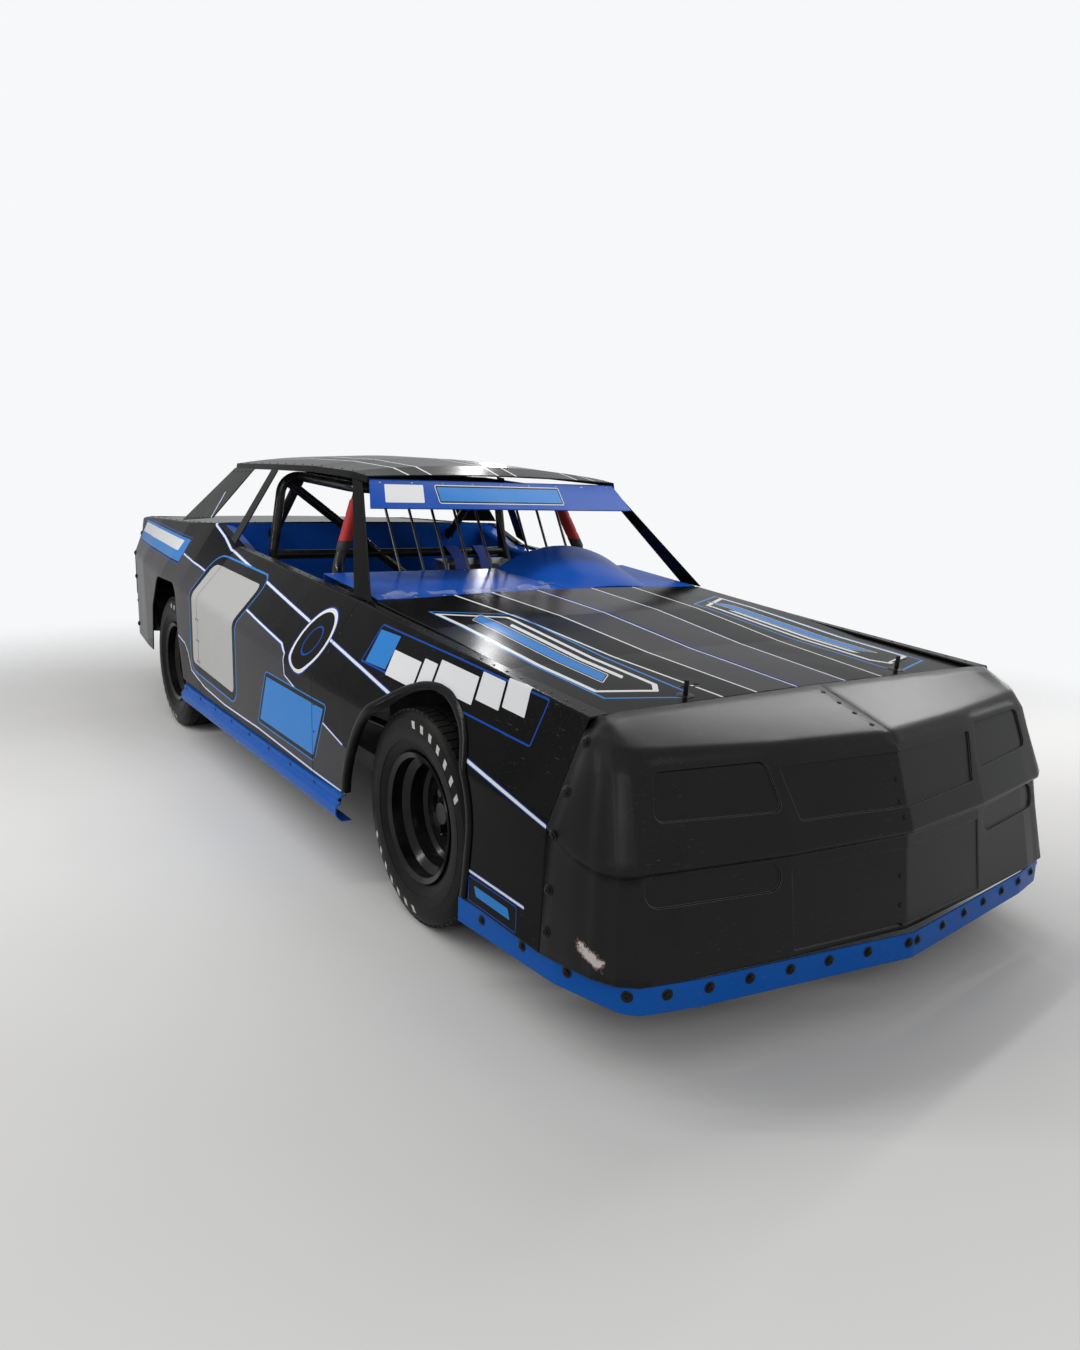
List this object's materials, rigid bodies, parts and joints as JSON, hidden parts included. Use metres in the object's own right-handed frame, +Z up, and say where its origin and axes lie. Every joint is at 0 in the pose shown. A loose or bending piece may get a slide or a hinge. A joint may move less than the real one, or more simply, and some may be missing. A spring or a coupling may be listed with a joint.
{
  "type": "dirt-track stock car",
  "caption": "Dirt-track stock car with a sheet-metal body over a tube cage and perimeter frame, steered front wheels, lifting hood and deck lid.",
  "frame": {"origin": "on the ground under the middle of the car", "axes": "+X to the car's left, the nose points to -Y, +Z up"},
  "size_m": [2.011, 4.8515, 1.444],
  "materials": {
    "body_black": "gloss",
    "panel_blue": "gloss",
    "nose_plastic": "satin",
    "skirt_blue": "satin",
    "cage_black": "gloss",
    "frame_black": "satin",
    "engine_iron": "satin",
    "bare_aluminium": "brushed",
    "exhaust_steel": "satin",
    "rod_steel": "satin",
    "rim_black": "gloss",
    "tyre_rubber": "matte",
    "grip_black": "matte",
    "spring_paint": "gloss"
  },
  "bodies": {
    "chassis": {"fender_right": "body_black", "fender_left": "body_black", "door_right": "body_black", "door_left": "body_black", "quarter_right": "body_black", "quarter_left": "body_black", "roof": "body_black", "front_posts": "body_black", "centre_posts": "body_black", "sail_panels": "body_black", "visor": "panel_blue", "cowl_deck": "panel_blue", "cowl_hump": "panel_blue", "side_ledges": "panel_blue", "rear_deck": "panel_blue", "rear_bulkhead": "panel_blue", "nose_right": "nose_plastic", "nose_left": "nose_plastic", "tail_cover": "nose_plastic", "nose_strip": "skirt_blue", "rocker_skirts": "skirt_blue", "main_hoop": "cage_black", "roof_halo": "cage_black", "cage_bars": "cage_black", "door_bars": "cage_black", "frame_rails": "frame_black", "frame_crossmembers": "frame_black", "bumper_bars": "frame_black", "rear_axle": "frame_black", "rear_links": "frame_black", "wishbones": "frame_black", "steering_box": "frame_black", "driveshaft": "frame_black", "engine": "engine_iron", "radiator": "bare_aluminium", "fuel_cell": "bare_aluminium", "floor_pan": "bare_aluminium", "firewall": "bare_aluminium", "seat": "bare_aluminium", "exhaust": "exhaust_steel", "windshield_bars": "rod_steel", "springs": "spring_paint"},
    "hood": {"hood": "body_black"},
    "deck_lid": {"deck_lid": "body_black"},
    "knuckle_right": {"knuckle_right": "frame_black"},
    "knuckle_left": {"knuckle_left": "frame_black"},
    "steering_wheel": {"steering_wheel": "grip_black", "steering_shaft": "rod_steel"},
    "steering_link": {"steering_link": "frame_black"},
    "wheel_front_right": {"rim_front_right": "rim_black", "tyre_front_right": "tyre_rubber"},
    "wheel_front_left": {"rim_front_left": "rim_black", "tyre_front_left": "tyre_rubber"},
    "wheel_rear_right": {"rim_rear_right": "rim_black", "tyre_rear_right": "tyre_rubber"},
    "wheel_rear_left": {"rim_rear_left": "rim_black", "tyre_rear_left": "tyre_rubber"}
  },
  "joints": [
    {"name": "steer_right", "type": "hinge", "parent": "chassis", "child": "knuckle_right", "pos_m": [-0.645, -1.2955, 0.343], "axis": [0, 0, 1], "range_deg": [-25, 25]},
    {"name": "steer_left", "type": "hinge", "parent": "chassis", "child": "knuckle_left", "pos_m": [0.645, -1.2955, 0.343], "axis": [0, 0, 1], "range_deg": [-25.5, 25.5]},
    {"name": "steering_wheel_turn", "type": "hinge", "parent": "chassis", "child": "steering_wheel", "pos_m": [0.395, 0.0495, 0.82], "axis": [0.0313, 0.9676, 0.2505], "range_deg": [-301, 301]},
    {"name": "steering_link_slide", "type": "slide", "parent": "chassis", "child": "steering_link", "axis": [1, 0, 0], "range_m": [-0.0615, 0.0615]},
    {"name": "front_right_spin", "type": "hinge", "parent": "knuckle_right", "child": "wheel_front_right", "pos_m": [-0.807, -1.2955, 0.343], "axis": [1, 0, 0], "continuous": true},
    {"name": "front_left_spin", "type": "hinge", "parent": "knuckle_left", "child": "wheel_front_left", "pos_m": [0.807, -1.2955, 0.343], "axis": [1, 0, 0], "continuous": true},
    {"name": "rear_right_spin", "type": "hinge", "parent": "chassis", "child": "wheel_rear_right", "pos_m": [-0.825, 1.4475, 0.343], "axis": [1, 0, 0], "continuous": true},
    {"name": "rear_left_spin", "type": "hinge", "parent": "chassis", "child": "wheel_rear_left", "pos_m": [0.825, 1.4475, 0.343], "axis": [1, 0, 0], "continuous": true},
    {"name": "hood_hinge", "type": "hinge", "parent": "chassis", "child": "hood", "pos_m": [0, -0.6675, 0.944], "axis": [-1, 0, 0], "range_deg": [0, 65]},
    {"name": "lid_hinge", "type": "hinge", "parent": "chassis", "child": "deck_lid", "pos_m": [0, 1.7025, 1.075], "axis": [1, 0, 0], "range_deg": [0, 60]}
  ],
  "couplings": [
    {"joint": "steer_left", "follows": "steer_right", "ratio": 1},
    {"joint": "steering_wheel_turn", "follows": "steer_right", "ratio": 12},
    {"joint": "steering_link_slide", "follows": "steer_right", "m_per_rad": 0.14}
  ]
}
